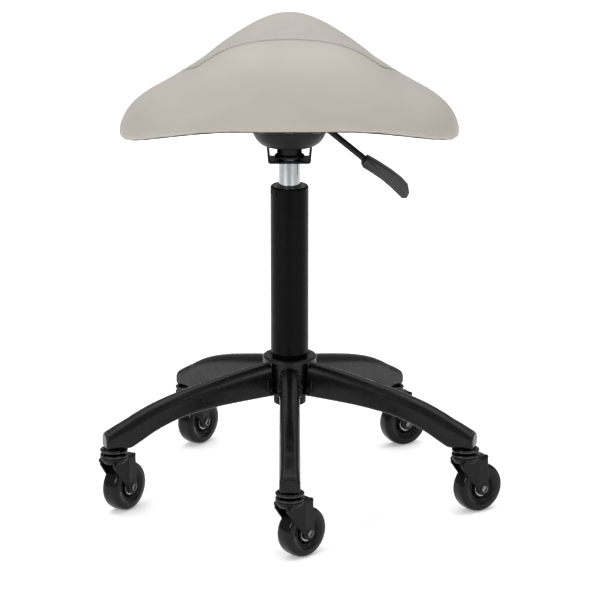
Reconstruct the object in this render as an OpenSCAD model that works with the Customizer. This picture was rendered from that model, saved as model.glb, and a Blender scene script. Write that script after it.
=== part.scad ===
// Saddle stool on a five-leg caster base, with a gas lift and a height lever.
// Millimetres. +X is the sitter's right, +Y is where the sitter faces, +Z is up.
// The origin is on the floor, under the column's axis.

/* [Seat] */
// Height of the saddle's ridge above the floor, with the lift at its lowest
ridge_z = 631; // [620:1:645]
// Height of the flat middle of the saddle's underside
under_z = 529; // [524:1:532]
// Drop of the underside from its flat middle to the side edges
under_drop = 29; // [15:1:32]
// Dip of the ridge between the seam and the pommel
ridge_dip = 4; // [0:1:12]
// Thickness of the leather cover
cover_t = 1.5; // [1:0.1:2]
// Thickness of the seat board
board_t = 9; // [6:1:10]

/* [Column] */
// Outside diameter of the column's outer tube
column_d = 50; // [48:1:52]
// Height of the outer tube's rim above the floor
column_top_z = 425; // [400:1:426]
// Outside diameter of the chromed pressure tube
lift_d = 28; // [27:0.5:28]

/* [Mechanism] */
// Length of the mounting plate, front to back
plate_l = 170; // [160:1:180]
// Width of the mounting plate
plate_w = 116; // [112:1:118]
// Front-to-back depth of the U bracket
bracket_l = 40; // [36:1:50]
// Diameter of the lever's rod
lever_d = 8.5; // [7:0.5:9]
// Fall of the lever's rod below the horizontal, in degrees
lever_fall = 39.5; // [36:0.5:41]

/* [Base] */
// Radius of the circle that the caster stems stand on
stem_circle_r = 242; // [238:1:246]
// Reach of each leg from the column's axis
leg_reach = 253.5; // [253:0.5:256]
// Width of a leg
leg_w = 26.6; // [24:0.2:27]
// Wall thickness of a leg's tube
leg_wall = 2; // [1.5:0.1:2.5]
// Height of the hub collar's top face
collar_top_z = 195; // [193:1:196]
// Outside radius of the hub collar
collar_r = 35.7; // [35:0.1:37]

/* [Casters] */
// Wheel diameter over the tyre
wheel_d = 66; // [62:1:67]
// Width of the tyre
tyre_w = 24; // [22:1:24]
// Distance from the swivel's axis to the axle
trail = 20; // [18:0.5:22]
// Direction that the casters trail in, in degrees from +X
trail_angle = 40; // [0:1:359]

/* [Hidden] */
$fn = 64;

leather = [0.78, 0.74, 0.71];
black = [0.09, 0.09, 0.10];
soft_black = [0.17, 0.17, 0.18];
chrome = [0.80, 0.81, 0.83];
zinc = [0.62, 0.63, 0.65];
foam = [0.90, 0.86, 0.70];
birch = [0.80, 0.66, 0.46];

// Running clearance of a shaft in its own bore, and the gaps between loose faces and between the seat's layers.
run = 0.06;
gap = 0.1;
layer_gap = 0.2;
foam_gap = 1.4;

// ---------- shared helpers ----------

function lerp(a, b, t) = a + (b - a) * t;
function clamp01(t) = min(1, max(0, t));
function smooth(t) = let(c = clamp01(t)) c * c * (3 - 2 * c);

// A point on the Catmull-Rom curve from b to c.
function spline_point(a, b, c, d, t) =
    0.5 * (2 * b + (c - a) * t + (2 * a - 5 * b + 4 * c - d) * t * t + (3 * b - a - 3 * c + d) * t * t * t);

// A closed smooth curve through points, with steps points to each span.
function closed_spline(points, steps) =
    let(n = len(points))
    [for (i = [0:n - 1], k = [0:steps - 1])
        spline_point(points[(i + n - 1) % n], points[i], points[(i + 1) % n], points[(i + 2) % n], k / steps)];

// An open smooth curve through points, with steps points to each span.
function open_spline(points, steps) =
    let(n = len(points))
    [for (i = [0:n - 2], k = [0:(i == n - 2 ? steps : steps - 1)])
        spline_point(points[max(0, i - 1)], points[i], points[i + 1], points[min(n - 1, i + 2)], k / steps)];

// A closed solid through rings of equal length, closed by a fan at each end.
module loft(rings) {
    n = len(rings[0]);
    m = len(rings);
    first = [for (axis = [0:2]) [for (p = rings[0]) p[axis]] * [for (p = rings[0]) 1] / n];
    last = [for (axis = [0:2]) [for (p = rings[m - 1]) p[axis]] * [for (p = rings[m - 1]) 1] / n];
    points = concat([first], [for (ring = rings, p = ring) p], [last]);
    sides = [for (j = [0:m - 2], i = [0:n - 1])
        let(a = 1 + j * n + i, b = 1 + j * n + (i + 1) % n)
        each [[a, b, a + n], [b, b + n, a + n]]];
    start = [for (i = [0:n - 1]) [0, 1 + (i + 1) % n, 1 + i]];
    end = [for (i = [0:n - 1]) [m * n + 1, 1 + (m - 1) * n + i, 1 + (m - 1) * n + (i + 1) % n]];
    polyhedron(points, concat(start, sides, end));
}

// A tube or disc about Z.
module ring(r_out, r_in, z_low, z_high) {
    translate([0, 0, z_low]) difference() {
        cylinder(r = r_out, h = z_high - z_low);
        translate([0, 0, -1]) cylinder(r = r_in, h = z_high - z_low + 2);
    }
}

// ---------- seat ----------

// Right half of the saddle's outline in plan, from the middle of the rear to the pommel's nose.
seat_half = [
    [0, -170], [62, -168], [124, -158], [172, -137], [206, -105], [220, -64], [217, -18],
    [202, 30], [185, 76], [167, 118], [147, 154], [114, 181], [64, 193], [0, 196]
];
seat_last = len(seat_half) - 1;
seat_points = concat(seat_half, [for (i = [seat_last - 1:-1:1]) [-seat_half[i][0], seat_half[i][1]]]);
seat_outline = closed_spline(seat_points, 2);
seat_centre = [0, 10];

// The rear of the saddle: how far the bell falls, where it is half way down, and the slope it keeps.
rear_depth = 75;
rear_spread = 133;
rear_tail = 0.038;

// The front of the saddle: the slope of its roof, and how broadly its ridge is rounded.
front_slope = 0.8;
front_round = 49;

// The underside is flat to flat_half on each side, and drops by under_drop over arch_w from there.
flat_half = 58;
arch_w = 155;
function under(x) = under_z - under_drop * pow(max(0, abs(x) - flat_half) / arch_w, 1.9);

// Height of the ridge: level at the seam, a slight dip, and a pommel a little lower than the seam.
ridge_seam_y = -80;
function ridge(y) = ridge_z - 3 * smooth((y - ridge_seam_y) / 230)
    - ridge_dip * pow(sin(180 * clamp01((y - ridge_seam_y) / 225)), 2);

// How far the saddle falls from its ridge at x: a bell over the sit bones, a steeper roof at the pommel.
function rear_fall(x) = rear_depth * pow(x, 4) / (pow(x, 4) + pow(rear_spread, 4)) + rear_tail * x;
function front_fall(x) = front_slope * (norm([x, front_round]) - front_round);
function saddle(x, y) = ridge(y) - lerp(rear_fall(abs(x)), front_fall(abs(x)), smooth((y + 100) / 260));

// Width of the rounded edge: broad at the rear panel, tighter at the ears and the nose.
function edge_width(p) = p[1] < 0 ? lerp(54, 90, smooth((-p[1] - 60) / 100)) : 50;

// A point of the upper surface at share t of the way out to outline point p, inset by d.
function seat_point(p, t, d) =
    let(arm = p - seat_centre, reach = norm(arm) - d, q = seat_centre + arm * (reach / norm(arm)) * t)
    let(low = under(q[0]), w = edge_width(p), u = clamp01((1 - t) * reach / w))
    [q[0], q[1], low + (saddle(q[0], q[1]) - d - low) * pow(1 - pow(1 - u, 2.1), 1 / 2.1)];
function seat_ring(t, d) = [for (p = seat_outline) seat_point(p, t, d)];

// A ring on the underside at share t, raised by dz, inset by d.
function under_ring(t, d, dz) =
    [for (p = seat_outline)
        let(arm = p - seat_centre, q = seat_centre + arm * ((norm(arm) - d) / norm(arm)) * t)
        [q[0], q[1], under(q[0]) + dz]];

// Shares of the way out from the seat's centre where the rings of its upper surface lie.
crown_steps = [0.12, 0.26, 0.4, 0.53, 0.64, 0.74, 0.82, 0.88, 0.93, 0.965, 0.988, 1];
foam_steps = [for (t = crown_steps) if (t < 0.95) t];
// Shares where the rings of the dust cover lie; the board goes one ring further out.
dust_steps = [0.25, 0.35, 0.45, 0.55, 0.65, 0.75, 0.82, 0.885];
board_steps = concat(dust_steps, [0.94]);
// How far in the cover's hem reaches.
hem_t = 0.9;
dust_t = 0.9;
// Heights above the underside: the dust cover's lower face, the board's, and the foam's.
dust_low = cover_t - 0.2 - dust_t;
board_low = cover_t + layer_gap;
foam_low = board_low + board_t + 1.7;

module seat_cover() {
    outer = [for (t = crown_steps) seat_ring(t, 0)];
    hem = [under_ring(0.985, 0, 0), under_ring(hem_t, 0, 0), under_ring(hem_t, 0, cover_t)];
    inner = [for (i = [len(crown_steps) - 1:-1:0])
        [for (q = seat_ring(crown_steps[i], cover_t)) [q[0], q[1], max(q[2], under(q[0]) + cover_t)]]];
    color(leather) loft(concat(outer, hem, [under_ring(0.97, cover_t, cover_t)], inner));
}

module foam_pad() {
    inset = cover_t + foam_gap;
    crown = [for (t = foam_steps) seat_ring(t, inset)];
    rim = [under_ring(0.92, 0, foam_low)];
    floor_rings = [for (i = [len(dust_steps) - 1:-1:0]) under_ring(dust_steps[i], 0, foam_low)];
    color(foam) loft(concat(crown, rim, floor_rings));
}

// A sheet that follows the arched underside, with rings at steps, from low to low + t above it.
module arched_sheet(steps, low, t) {
    top = [for (k = steps) under_ring(k, 0, low + t)];
    bottom = [for (i = [len(steps) - 1:-1:0]) under_ring(steps[i], 0, low)];
    loft(concat(top, bottom));
}

// The four bolts that hold the mounting plate under the board.
bolt_x = 45;
bolt_y = 70;
bolt_r = 4;
t_nut_r = 5.2;
plate_t = 3;
plate_top = under_z + dust_low - layer_gap;
module at_bolts() {
    for (x = [-bolt_x, bolt_x], y = [-bolt_y, bolt_y]) translate([x, y, 0]) children();
}

module seat_board() {
    color(birch) difference() {
        arched_sheet(board_steps, board_low, board_t);
        at_bolts() translate([0, 0, under_z - 5]) cylinder(r = t_nut_r + gap, h = 30);
    }
}

module dust_cover() {
    color(black) difference() {
        arched_sheet(dust_steps, dust_low, dust_t);
        at_bolts() translate([0, 0, under_z - 5]) cylinder(r = bolt_r + 0.5, h = 30);
    }
}

// Staples that hold the hem, spread round the outline at share staple_ring.
staple_count = 36;
staple_ring = 0.945;
staple_l = 9;
staple_w = 1.2;
staple_t = 0.7;
module staples() {
    points = len(seat_outline);
    color(zinc) for (i = [0:staple_count - 1]) {
        j = floor(i * points / staple_count);
        a = seat_centre + (seat_outline[j] - seat_centre) * staple_ring;
        b = seat_centre + (seat_outline[(j + 1) % points] - seat_centre) * staple_ring;
        heading = atan2(b[1] - a[1], b[0] - a[0]);
        pitch = atan2(under(b[0]) - under(a[0]), norm(b - a));
        translate([a[0], a[1], under(a[0]) - staple_t]) rotate([0, 0, heading]) rotate([0, -pitch, 0])
            translate([0, -staple_w / 2, -0.4]) cube([staple_l, staple_w, staple_t]);
    }
}

module t_nuts() {
    low = under_z + board_low + 0.5;
    high = under_z + board_low + board_t;
    color(zinc) at_bolts() difference() {
        union() {
            translate([0, 0, low]) cylinder(r = t_nut_r, h = high - low);
            translate([0, 0, high]) cylinder(r = 9.5, h = 1.4);
        }
        translate([0, 0, low - 1]) cylinder(r = bolt_r + 0.05, h = board_t + 5);
    }
}

washer_t = 1.6;
module seat_washers() {
    color(zinc) at_bolts() ring(8.5, bolt_r + 0.3, plate_top - plate_t - washer_t, plate_top - plate_t);
}

module seat_bolts() {
    head_h = 5.3;
    head_top = plate_top - plate_t - washer_t;
    color(zinc) at_bolts() {
        translate([0, 0, head_top - head_h]) cylinder(r = 7.2, h = head_h, $fn = 6);
        translate([0, 0, head_top - 0.5]) cylinder(r = bolt_r, h = 16.5);
    }
}

// ---------- mechanism under the seat ----------

// The plate's pressed bowl: its flat bottom's radius, the width and height of its round side, and its wall.
bowl_flat_r = 29;
bowl_round = [22, 36];
bowl_low_z = 478.5;
bowl_t = 2.5;
bowl_mid_z = bowl_low_z + bowl_round[1];
// The taper socket's outside, the lever's pivot, and the two lugs that hold it.
socket_r = 16.2;
pivot_x = 36;
pivot_z = 510.5;
pivot_r = 4;
lug_y = 9;
lug_t = 3;

// Tops of the pressure tube's taper and of the release pin that stands out of it.
taper_top_z = 498;
pin_top_z = 507.5;

// The bowl's outline from its flat bottom out and up to its rim, inset by d.
function bowl_curve(d) =
    [for (a = [0:10:90])
        [bowl_flat_r + (bowl_round[0] - d) * sin(a), bowl_mid_z - (bowl_round[1] - d) * cos(a)]];

// A solid of revolution with the bowl's own outline, inset by d.
module bowl_solid(d) {
    curve = bowl_curve(d);
    top = plate_top - plate_t / 2;
    rotate_extrude($fn = 96)
        polygon(concat([[0, bowl_low_z + d]], curve, [[bowl_flat_r + bowl_round[0] - d, top], [0, top]]));
}

module rounded_plate(w, l, r, t) {
    translate([0, 0, t / 2]) {
        cube([w - 2 * r, l, t], center = true);
        cube([w, l - 2 * r, t], center = true);
        for (x = [-1, 1], y = [-1, 1]) translate([x * (w / 2 - r), y * (l / 2 - r), 0])
            cylinder(r = r, h = t, center = true);
    }
}

module dish_plate() {
    mouth_r = bowl_flat_r + bowl_round[0] - bowl_t;
    color(black) difference() {
        union() {
            translate([0, 0, plate_top - plate_t]) rounded_plate(plate_w, plate_l, 14, plate_t);
            bowl_solid(0);
        }
        bowl_solid(bowl_t);
        translate([0, 0, plate_top - plate_t - 1]) cylinder(r = mouth_r, h = plate_t + 2, $fn = 96);
        translate([0, 0, bowl_low_z - 1]) cylinder(r = socket_r, h = 6);
        at_bolts() translate([0, 0, plate_top - plate_t - 1]) cylinder(r = bolt_r + 0.5, h = plate_t + 2);
        translate([pivot_x + 2, -7, 481]) cube([24, 14, 33]);
    }
}

// The U bracket welded under the bowl: its half width at the bottom, and how much wider it gets at the top.
bracket_low_z = 460.5;
bracket_t = 2.5;
bracket_half_w = 26.8;
bracket_flare = 0.08;
module u_bracket() {
    high = 500;
    half_high = bracket_half_w + bracket_flare * (high - bracket_low_z);
    corner = 4;
    outside = concat(
        [[half_high, high]],
        [for (a = [0:-15:-90])
            [bracket_half_w - corner + corner * cos(a), bracket_low_z + corner + corner * sin(a)]],
        [for (a = [-90:-15:-180])
            [-bracket_half_w + corner + corner * cos(a), bracket_low_z + corner + corner * sin(a)]],
        [[-half_high, high]]);
    inner = corner - bracket_t;
    inside = concat(
        [[half_high - bracket_t, high + 1]],
        [for (a = [0:-30:-90])
            [bracket_half_w - corner + inner * cos(a), bracket_low_z + corner + inner * sin(a)]],
        [for (a = [-90:-30:-180])
            [-bracket_half_w + corner + inner * cos(a), bracket_low_z + corner + inner * sin(a)]],
        [[-half_high + bracket_t, high + 1]]);
    color(black) difference() {
        rotate([90, 0, 0]) linear_extrude(bracket_l, center = true) difference() {
            polygon(outside);
            polygon(inside);
        }
        bowl_solid(-gap / 2);
        translate([0, 0, bowl_mid_z]) cube([200, 200, 60], center = true);
        translate([0, 0, bracket_low_z - 1]) cylinder(r = lift_d / 2 + 0.3, h = bracket_t + 2);
    }
}

// Radius of the pressure tube's taper, and of the socket that grips it, at height z.
taper_low_z = bracket_low_z + bracket_t;
function taper_r(z) = lift_d / 2 - 0.1 - 0.026 * (z - taper_low_z);

module taper_socket() {
    color(black) difference() {
        union() {
            translate([0, 0, taper_low_z]) cylinder(r = socket_r, h = taper_top_z - 3 - taper_low_z);
            translate([0, 0, taper_low_z]) cylinder(r = 19.5, h = 2.5);
            translate([0, 0, taper_low_z + 2.5]) cylinder(r1 = 19.5, r2 = socket_r, h = 2.5);
        }
        translate([0, 0, taper_low_z])
            cylinder(r1 = taper_r(taper_low_z), r2 = taper_r(taper_top_z), h = taper_top_z - taper_low_z);
        translate([0, 0, taper_low_z - 1]) cylinder(r = taper_r(taper_low_z), h = 1.5);
    }
}

module lever_lugs() {
    color(black) intersection() {
        bowl_solid(bowl_t + 0.02);
        difference() {
            for (side = [-1, 1]) translate([pivot_x - 9, side * (lug_y + lug_t / 2) - lug_t / 2, bowl_low_z])
                cube([20, lug_t, pivot_z + 8 - bowl_low_z]);
            translate([pivot_x, 0, pivot_z]) rotate([90, 0, 0])
                cylinder(r = pivot_r, h = 60, center = true);
        }
    }
}

module pivot_pin() {
    half = lug_y + lug_t;
    color(zinc) translate([pivot_x, 0, pivot_z]) rotate([90, 0, 0]) {
        cylinder(r = pivot_r, h = 2 * half + 2, center = true);
        for (side = [-1, 1]) translate([0, 0, side * (half + 1.3)])
            cylinder(r = pivot_r + 1.6, h = 2.4, center = true);
    }
}

lever_len = 128;
barrel_r = 7;
barrel_w = 16;
tongue_w = 12;
module lever_rod() {
    color(soft_black) difference() {
        union() {
            translate([pivot_x, 0, pivot_z]) rotate([90, 0, 0])
                cylinder(r = barrel_r, h = barrel_w, center = true);
            translate([pivot_x, 0, pivot_z]) rotate([0, 90 + lever_fall, 0])
                cylinder(r = lever_d / 2, h = lever_len);
            translate([-tongue_w / 2, -tongue_w / 2, pin_top_z + gap]) cube([pivot_x + 2, tongue_w, 5]);
        }
        translate([pivot_x, 0, pivot_z]) rotate([90, 0, 0]) cylinder(r = pivot_r + run, h = 30, center = true);
    }
}

// The paddle grip's side outline, as distance along the rod and height above its centre line.
grip_outline = [
    [80, 5.8], [79, -7.5], [84, -8.5], [98, -6.7], [113, -5.5], [128, -5.8],
    [149, -7.8], [153.5, -3.5], [152, 4], [146, 9], [134, 10.6], [118, 10.4], [98, 8.4]
];
grip_w = 25;
module lever_grip() {
    color(soft_black) translate([pivot_x, 0, pivot_z]) rotate([0, lever_fall, 0]) difference() {
        rotate([90, 0, 0]) linear_extrude(grip_w, center = true) polygon(grip_outline);
        rotate([0, 90, 0]) translate([0, 0, 60]) cylinder(r = lever_d / 2, h = lever_len - 60);
    }
}

// ---------- gas lift ----------

// The pressure tube's lower end and wall, the top of its gas chamber, and its piston on a fixed rod.
tube_low_z = 160;
tube_wall = 1.6;
chamber_top_z = 450;
rod_r = 5;
piston_z = 372;

// The outer tube's tapered foot, with the radius at its lower and upper end, its wall, floor and guide bush.
cone_top_z = collar_top_z;
cone_low_z = 129;
cone_r = [21.4, 23.4];
outer_wall = 2;
floor_t = 3;
bush_len = 89;

module pressure_tube() {
    r = lift_d / 2;
    color(chrome) difference() {
        rotate_extrude() polygon([
            [0, tube_low_z], [r - 0.8, tube_low_z], [r, tube_low_z + 0.8], [r, taper_low_z - 1],
            [taper_r(taper_low_z), taper_low_z], [taper_r(taper_top_z), taper_top_z], [0, taper_top_z]
        ]);
        translate([0, 0, tube_low_z - 1]) cylinder(r = r - tube_wall, h = chamber_top_z - tube_low_z + 1);
        translate([0, 0, chamber_top_z - 1]) cylinder(r = 3.6, h = 60);
    }
}

module release_pin() {
    color(zinc) {
        translate([0, 0, chamber_top_z + 6]) cylinder(r = 3.54, h = pin_top_z - chamber_top_z - 7);
        translate([0, 0, pin_top_z - 1.5]) cylinder(r1 = 3.54, r2 = 2.6, h = 1.5);
    }
}

module rod_gland() {
    color(soft_black) ring(lift_d / 2 - tube_wall - 0.02, rod_r + run, tube_low_z + 2, tube_low_z + 20);
}

module piston() {
    color(zinc) ring(lift_d / 2 - tube_wall - 0.08, rod_r, piston_z, piston_z + 14);
}

module piston_rod() {
    color(chrome) {
        translate([0, 0, cone_low_z - 6]) cylinder(r = rod_r, h = piston_z + 14 - cone_low_z + 6);
        translate([0, 0, cone_low_z + 9.2]) cylinder(r = 8, h = 3);
    }
}

module bump_stop() {
    color(black) ring(11, rod_r + 0.2, cone_low_z + 12.4, tube_low_z - 2);
}

module retaining_clip() {
    color(zinc) ring(9, rod_r + 0.02, cone_low_z - 2.2, cone_low_z - 0.5);
}

module thrust_bearing() {
    low = cone_low_z + floor_t;
    color(zinc) {
        ring(11.5, rod_r + 0.3, low, low + 1.4);
        ring(11.5, rod_r + 0.3, low + 4.6, low + 6);
        for (a = [0:36:324]) rotate([0, 0, a]) translate([8.6, 0, low + 3]) sphere(r = 1.55, $fn = 24);
    }
}

module outer_tube() {
    r = column_d / 2;
    inside = r - outer_wall;
    color(black) rotate_extrude($fn = 96) polygon([
        [rod_r + 0.08, cone_low_z], [cone_r[0] - 1, cone_low_z], [cone_r[0], cone_low_z + 1],
        [cone_r[1], cone_top_z], [cone_r[1], cone_top_z + 1], [r - 0.5, cone_top_z + 3.5],
        [r, cone_top_z + 4.5], [r, column_top_z - 2], [r - 1.2, column_top_z], [inside, column_top_z],
        [inside, cone_top_z + 8], [cone_r[1] - outer_wall, cone_top_z],
        [cone_r[0] - outer_wall, cone_low_z + floor_t], [rod_r + 0.08, cone_low_z + floor_t]
    ]);
}

module guide_bush() {
    color(black) ring(column_d / 2 - outer_wall - 0.02, lift_d / 2 + run,
        column_top_z - bush_len, column_top_z - 0.6);
}

// ---------- five-leg base ----------

leg_angles = [-90, -18, 54, 126, 198];
leg_end_z = 90;

// The hub: a ring and skirt with an arched window for each leg, round a tapered socket tube.
window_half = 15.5;
window_top_z = collar_top_z - 4.5;
skirt_low_z = 151;
skirt_t = 3;
socket_tube_r = 25.5;
socket_tube_low_z = 142;

module hub_collar() {
    color(black) difference() {
        rotate_extrude($fn = 96) polygon([
            [socket_tube_r + 0.1, collar_top_z - 1.5], [socket_tube_r + 1.5, collar_top_z],
            [collar_r - 1.2, collar_top_z], [collar_r, collar_top_z - 1.2], [collar_r, skirt_low_z],
            [collar_r - skirt_t, skirt_low_z], [collar_r - skirt_t, collar_top_z - 6],
            [socket_tube_r + 0.1, collar_top_z - 6]
        ]);
        for (a = leg_angles) rotate([0, 0, a]) {
            translate([28, -window_half, skirt_low_z - 1])
                cube([20, 2 * window_half, window_top_z - window_half - skirt_low_z + 1]);
            translate([28, 0, window_top_z - window_half]) rotate([0, 90, 0]) cylinder(r = window_half, h = 20);
        }
    }
}

// Radius of the outer tube's cone at height z.
function cone_at(z) = lerp(cone_r[0], cone_r[1], (z - cone_low_z) / (cone_top_z - cone_low_z));

module hub_socket() {
    low = socket_tube_low_z;
    color(black) difference() {
        translate([0, 0, low]) cylinder(r = socket_tube_r, h = collar_top_z - 2 - low, $fn = 96);
        translate([0, 0, low - 1])
            cylinder(r1 = cone_at(low - 1), r2 = cone_at(collar_top_z), h = collar_top_z + 1 - low, $fn = 96);
    }
}

// A leg's side outline: distance from the column's axis, height of the underside, height of the top.
leg_profile = [
    [18, 142.1, 189.2], [60, 138.7, 180.5], [105, 133.9, 169.6], [150, 124.9, 157.4], [185, 110.7, 145.4],
    [210, 96, 133.9], [222, 90, 127.4], [240, 90, 118.2], [leg_reach, 90, 110.8]
];
leg_sides = 20;

// The ring of a leg's section at profile row p, inset by d. Its corners are rounder at the top.
function leg_ring(p, d, end_inset = 0) =
    let(low = p[1] + d + end_inset, high = p[2] - d - end_inset)
    let(mid = (low + high) / 2, h = (high - low) / 2, w = leg_w / 2 - d - end_inset)
    [for (i = [0:leg_sides - 1])
        let(a = 360 * (i + 0.5) / leg_sides, c = cos(a), s = sin(a), n = s > 0 ? 2.5 : 4.5)
        [p[0], w * sign(c) * pow(abs(c), 2 / n), mid + h * sign(s) * pow(abs(s), 2 / n)]];

module leg(angle) {
    spine = [for (p = open_spline(leg_profile, 2)) [p[0], max(p[1], leg_end_z), p[2]]];
    n = len(spine) - 1;
    outer = concat([for (p = spine) leg_ring(p, 0)], [leg_ring(spine[n] + [1, 0, 0], 0, 1.2)]);
    inner = [for (p = spine) leg_ring([p[0] - 1, p[1], p[2]], leg_wall)];
    color(black) rotate([0, 0, angle]) difference() {
        loft([for (i = [len(outer) - 1:-1:0]) outer[i]]);
        loft([for (i = [len(inner) - 1:-1:0]) inner[i]]);
        cylinder(r = socket_tube_r + 0.1, h = 300, $fn = 96);
        translate([stem_circle_r, 0, leg_end_z - 5]) cylinder(r = socket_out_r + gap, h = 12);
    }
}
module leg_1() { leg(leg_angles[0]); }
module leg_2() { leg(leg_angles[1]); }
module leg_3() { leg(leg_angles[2]); }
module leg_4() { leg(leg_angles[3]); }
module leg_5() { leg(leg_angles[4]); }

module at_stems() {
    for (a = leg_angles) translate([stem_circle_r * cos(a), stem_circle_r * sin(a), 0]) children();
}

// The caster's stem, and the socket in the leg that holds it.
stem_r = 5.5;
socket_out_r = 9;
socket_h = 15;
module stem_sockets() {
    color(black) at_stems() ring(socket_out_r, stem_r + 0.05, leg_end_z, leg_end_z + socket_h);
}

// ---------- casters ----------

// The swivel: the plate under each leg, and the fork's head below it.
race_r = 18.4;
plate_disc_t = 3.5;
head_low_z = 70.5;
head_top_z = 84;
stem_low_z = head_top_z - 6;

// The fork's cheeks, the axle, the bearings and the wheel's rim.
cheek_in = 13.3;
cheek_t = 2.4;
boss_r = 8.6;
axle_z = wheel_d / 2;
axle_r = 4;
bearing_r = 11;
bearing_w = 7;
rim_r = 18;

module caster_stems() {
    color(zinc) at_stems() {
        translate([0, 0, stem_low_z]) cylinder(r = stem_r, h = leg_end_z + socket_h - 1 - stem_low_z);
        translate([0, 0, leg_end_z - gap - plate_disc_t]) cylinder(r = race_r, h = plate_disc_t);
        translate([0, 0, stem_low_z - 1.4]) cylinder(r = stem_r + 2.5, h = 2.4);
    }
}

// Each caster's own turn from the direction that they trail in.
trail_turns = [3, -7, -12, 11, 15];

// Runs its children in a caster's own frame: X along the trail, the swivel's axis at the origin.
module caster(k) {
    a = leg_angles[k - 1];
    translate([stem_circle_r * cos(a), stem_circle_r * sin(a), 0])
        rotate([0, 0, trail_angle + trail_turns[k - 1]]) children();
}

// Runs its children with Z along the wheel's axle and the wheel's centre at the origin.
module on_axle(k) {
    caster(k) translate([trail, 0, axle_z]) rotate([90, 0, 0]) children();
}

// A fork cheek's side outline: the leading edge slants from the head down to the round boss.
cheek_outline = [[-15.5, 75], [-15.5, 69], [9.1, 36], [28.3, 35], [26, 80], [6, 80]];
// The hood between the cheeks: a slab that rises from the leading edge to a step at the trailing end.
hood_outline = [[-14, 70.5], [26, 76.5], [26, 80], [6, 80], [-14, 75]];
module fork(k) {
    color(soft_black) caster(k) difference() {
        union() {
            for (side = [-1, 1]) translate([0, side * (cheek_in + cheek_t / 2), 0]) rotate([90, 0, 0]) {
                linear_extrude(cheek_t, center = true) polygon(cheek_outline);
                translate([trail, axle_z, 0]) cylinder(r = boss_r, h = cheek_t, center = true);
            }
            rotate([90, 0, 0]) linear_extrude(2 * (cheek_in + cheek_t), center = true) polygon(hood_outline);
            translate([0, 0, head_low_z]) cylinder(r = race_r, h = head_top_z - 1 - head_low_z);
        }
        translate([0, 0, head_low_z - 1]) cylinder(r = race_r - 2.5, h = 7);
        translate([0, 0, head_low_z - 1]) cylinder(r = stem_r + run, h = 30);
        translate([0, 0, stem_low_z - 1.9]) cylinder(r = stem_r + 2.8, h = 3.2);
        translate([trail, 0, axle_z]) rotate([90, 0, 0]) cylinder(r = axle_r, h = 60, center = true);
    }
}
module fork_1() { fork(1); }
module fork_2() { fork(2); }
module fork_3() { fork(3); }
module fork_4() { fork(4); }
module fork_5() { fork(5); }

// The axle bolt: a button head with a hex socket on one cheek, a nut on the other.
module axle(k) {
    outside = cheek_in + cheek_t;
    color(zinc) on_axle(k) difference() {
        union() {
            translate([0, 0, -outside - 4]) cylinder(r = axle_r, h = 2 * outside + 4.5);
            translate([0, 0, outside]) cylinder(r1 = 5, r2 = 4.3, h = 2.4);
            translate([0, 0, -outside - 4]) cylinder(r = 6.5, h = 4, $fn = 6);
        }
        translate([0, 0, outside + 0.7]) cylinder(r = 3, h = 3, $fn = 6);
    }
}
module axle_1() { axle(1); }
module axle_2() { axle(2); }
module axle_3() { axle(3); }
module axle_4() { axle(4); }
module axle_5() { axle(5); }

module tyre(k) {
    half = tyre_w / 2;
    bead = 9.5;
    crown = [for (a = [-80:10:80]) [axle_z - 10 + 10 * cos(a), half * sin(a) / sin(80)]];
    color(black) on_axle(k) rotate_extrude($fn = 72)
        polygon(concat([[rim_r, -bead]], crown, [[rim_r, bead]]));
}
module tyre_1() { tyre(1); }
module tyre_2() { tyre(2); }
module tyre_3() { tyre(3); }
module tyre_4() { tyre(4); }
module tyre_5() { tyre(5); }

spokes = 8;
spoke_t = 1.8;
rim_half = 9.3;
hub_half = 10.6;
module wheel_core(k) {
    color(soft_black) on_axle(k) difference() {
        union() {
            ring(rim_r - 0.02, rim_r - 2.4, -rim_half, rim_half);
            ring(bearing_r + 1.6, bearing_r - 1.6, -hub_half, hub_half);
            ring(rim_r - 1, bearing_r, -1.2, 1.2);
            for (i = [0:spokes - 1]) rotate([0, 0, i * 360 / spokes])
                translate([bearing_r + 0.8, -spoke_t / 2, 1 - rim_half]) cube([5.4, spoke_t, 2 * rim_half - 2]);
        }
        for (side = [-1, 1]) translate([0, 0, side * (hub_half - bearing_w / 2 + 0.5)])
            cylinder(r = bearing_r + 0.02, h = bearing_w + 1, center = true);
    }
}
module wheel_core_1() { wheel_core(1); }
module wheel_core_2() { wheel_core(2); }
module wheel_core_3() { wheel_core(3); }
module wheel_core_4() { wheel_core(4); }
module wheel_core_5() { wheel_core(5); }

// Two ball bearings to a wheel, each an outer race, a shield and an inner race.
race_t = 1.9;
shield_in_r = axle_r + 2.1;
module bearings(k) {
    low = 4.2;
    color(zinc) on_axle(k) for (side = [-1, 1]) {
        z0 = side > 0 ? low : -low - bearing_w;
        ring(bearing_r, bearing_r - race_t, z0, z0 + bearing_w);
        ring(bearing_r - race_t, shield_in_r, z0 + 0.7, z0 + bearing_w - 0.7);
        ring(shield_in_r, axle_r + run, z0, z0 + bearing_w);
    }
}
module bearings_1() { bearings(1); }
module bearings_2() { bearings(2); }
module bearings_3() { bearings(3); }
module bearings_4() { bearings(4); }
module bearings_5() { bearings(5); }

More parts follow.
